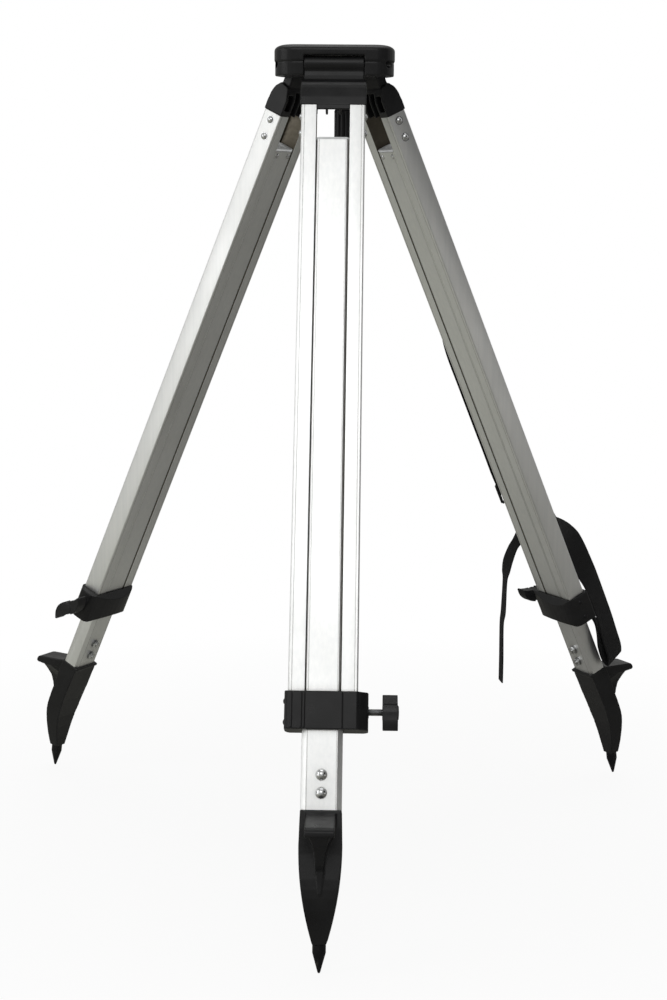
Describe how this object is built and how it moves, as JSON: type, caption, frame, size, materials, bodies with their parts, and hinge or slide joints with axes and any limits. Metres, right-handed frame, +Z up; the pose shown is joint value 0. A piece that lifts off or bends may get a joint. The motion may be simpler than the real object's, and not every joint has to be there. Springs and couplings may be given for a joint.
{
  "type": "surveying tripod",
  "caption": "Aluminium surveying tripod with a rounded triangular head, folding legs that extend and clamp, pointed feet with step plates, a swinging fixing screw and a carrying strap.",
  "frame": {"origin": "centre of the head's flat top face", "axes": "+Z up, normal to the head's top face; -Y towards the front leg; +X to the right seen from the front"},
  "size_m": [0.8792, 0.7749, 1.0241],
  "materials": {
    "black_casting": "semi-gloss black powder coat",
    "satin_aluminium": "satin anodised",
    "zinc": "bright zinc plate",
    "bright_steel": "machined",
    "dark_steel": "blackened",
    "steel_plate": "zinc plated sheet",
    "brass": "turned",
    "black_plastic": "moulded, fine texture",
    "grey_plastic": "moulded",
    "black_webbing": "woven webbing"
  },
  "bodies": {
    "head": {"head_casting": "black_casting", "hinge_pins": "dark_steel", "pin_screws": "dark_steel", "arm_pivot": "zinc"},
    "swing_arm": {"swing_arm": "steel_plate"},
    "screw_carriage": {"slide_bush": "brass"},
    "screw_lift": {"thrust_washer": "zinc"},
    "fixing_screw": {"fixing_screw": "bright_steel", "fixing_knob": "black_plastic", "plumb_hook": "zinc"},
    "leg_front": {"hinge_casting_front": "black_casting", "rails_front": "satin_aluminium", "rivets_front": "zinc", "clamp_body_front": "black_casting", "clamp_bush_front": "dark_steel"},
    "lower_leg_front": {"lower_leg_front": "satin_aluminium", "end_guide_front": "grey_plastic", "guide_rivets_front": "zinc", "foot_front": "black_casting", "foot_bolts_front": "zinc", "foot_point_front": "dark_steel"},
    "clamp_shoe_front": {"clamp_shoe_front": "black_plastic"},
    "clamp_screw_front": {"clamp_screw_front": "bright_steel", "wing_knob_front": "black_plastic"},
    "leg_right": {"hinge_casting_right": "black_casting", "rails_right": "satin_aluminium", "rivets_right": "zinc", "clamp_body_right": "black_casting", "clamp_bush_right": "dark_steel", "strap": "black_webbing", "strap_buckle": "black_plastic", "strap_anchors": "dark_steel"},
    "lower_leg_right": {"lower_leg_right": "satin_aluminium", "end_guide_right": "grey_plastic", "guide_rivets_right": "zinc", "foot_right": "black_casting", "foot_bolts_right": "zinc", "foot_point_right": "dark_steel"},
    "clamp_shoe_right": {"clamp_shoe_right": "black_plastic"},
    "clamp_screw_right": {"clamp_screw_right": "bright_steel", "wing_knob_right": "black_plastic"},
    "leg_left": {"hinge_casting_left": "black_casting", "rails_left": "satin_aluminium", "rivets_left": "zinc", "clamp_body_left": "black_casting", "clamp_bush_left": "dark_steel"},
    "lower_leg_left": {"lower_leg_left": "satin_aluminium", "end_guide_left": "grey_plastic", "guide_rivets_left": "zinc", "foot_left": "black_casting", "foot_bolts_left": "zinc", "foot_point_left": "dark_steel"},
    "clamp_shoe_left": {"clamp_shoe_left": "black_plastic"},
    "clamp_screw_left": {"clamp_screw_left": "bright_steel", "wing_knob_left": "black_plastic"},
    "strap_tail": {"strap_tail": "black_webbing"}
  },
  "joints": [
    {"name": "arm_swing", "type": "hinge", "parent": "head", "child": "swing_arm", "pos_m": [0, 0.034, -0.017], "axis": [0, 0, 1], "range_deg": [-44.8, 0]},
    {"name": "screw_slide", "type": "slide", "parent": "swing_arm", "child": "screw_carriage", "axis": [0.3811, -0.9245, 0], "range_m": [-0.008, 0.008]},
    {"name": "screw_lift", "type": "slide", "parent": "screw_carriage", "child": "screw_lift", "axis": [0, 0, 1], "range_m": [0, 0.011]},
    {"name": "screw_turn", "type": "hinge", "parent": "screw_lift", "child": "fixing_screw", "pos_m": [0.01326, 0.00183, -0.03], "axis": [0, 0, 1], "continuous": true},
    {"name": "leg_fold_front", "type": "hinge", "parent": "head", "child": "leg_front", "pos_m": [0, -0.0445, -0.0243], "axis": [-1, 0, 0], "range_deg": [-25, 20]},
    {"name": "leg_extension_front", "type": "slide", "parent": "leg_front", "child": "lower_leg_front", "axis": [0, -0.4226, -0.9063], "range_m": [-0.03, 0.55]},
    {"name": "clamp_travel_front", "type": "slide", "parent": "leg_front", "child": "clamp_shoe_front", "axis": [1, 0, 0], "range_m": [0, 0.0025]},
    {"name": "clamp_turn_front", "type": "hinge", "parent": "clamp_shoe_front", "child": "clamp_screw_front", "pos_m": [0.06, -0.38353, -0.75774], "axis": [1, 0, 0], "range_deg": [0, 720]},
    {"name": "leg_fold_right", "type": "hinge", "parent": "head", "child": "leg_right", "pos_m": [0.03854, 0.02225, -0.0243], "axis": [0.5, -0.866, 0], "range_deg": [-25, 20]},
    {"name": "leg_extension_right", "type": "slide", "parent": "leg_right", "child": "lower_leg_right", "axis": [0.366, 0.2113, -0.9063], "range_m": [-0.03, 0.55]},
    {"name": "clamp_travel_right", "type": "slide", "parent": "leg_right", "child": "clamp_shoe_right", "axis": [-0.5, 0.866, 0], "range_m": [0, 0.0025]},
    {"name": "clamp_turn_right", "type": "hinge", "parent": "clamp_shoe_right", "child": "clamp_screw_right", "pos_m": [0.30214, 0.24373, -0.75774], "axis": [-0.5, 0.866, 0], "range_deg": [0, 720]},
    {"name": "leg_fold_left", "type": "hinge", "parent": "head", "child": "leg_left", "pos_m": [-0.03854, 0.02225, -0.0243], "axis": [0.5, 0.866, 0], "range_deg": [-25, 20]},
    {"name": "leg_extension_left", "type": "slide", "parent": "leg_left", "child": "lower_leg_left", "axis": [-0.366, 0.2113, -0.9063], "range_m": [-0.03, 0.55]},
    {"name": "clamp_travel_left", "type": "slide", "parent": "leg_left", "child": "clamp_shoe_left", "axis": [-0.5, -0.866, 0], "range_m": [0, 0.0025]},
    {"name": "clamp_turn_left", "type": "hinge", "parent": "clamp_shoe_left", "child": "clamp_screw_left", "pos_m": [-0.36214, 0.1398, -0.75774], "axis": [-0.5, -0.866, 0], "range_deg": [0, 720]},
    {"name": "tail_hang", "type": "hinge", "parent": "leg_right", "child": "strap_tail", "pos_m": [0.27263, 0.22091, -0.62712], "axis": [0.5, -0.866, 0], "range_deg": [-20, 25]}
  ],
  "couplings": [
    {"joint": "clamp_travel_front", "follows": "clamp_turn_front", "m_per_rad": 0.00019894},
    {"joint": "clamp_travel_right", "follows": "clamp_turn_right", "m_per_rad": 0.00019894},
    {"joint": "clamp_travel_left", "follows": "clamp_turn_left", "m_per_rad": 0.00019894},
    {"joint": "tail_hang", "follows": "leg_fold_right", "ratio": -1}
  ]
}
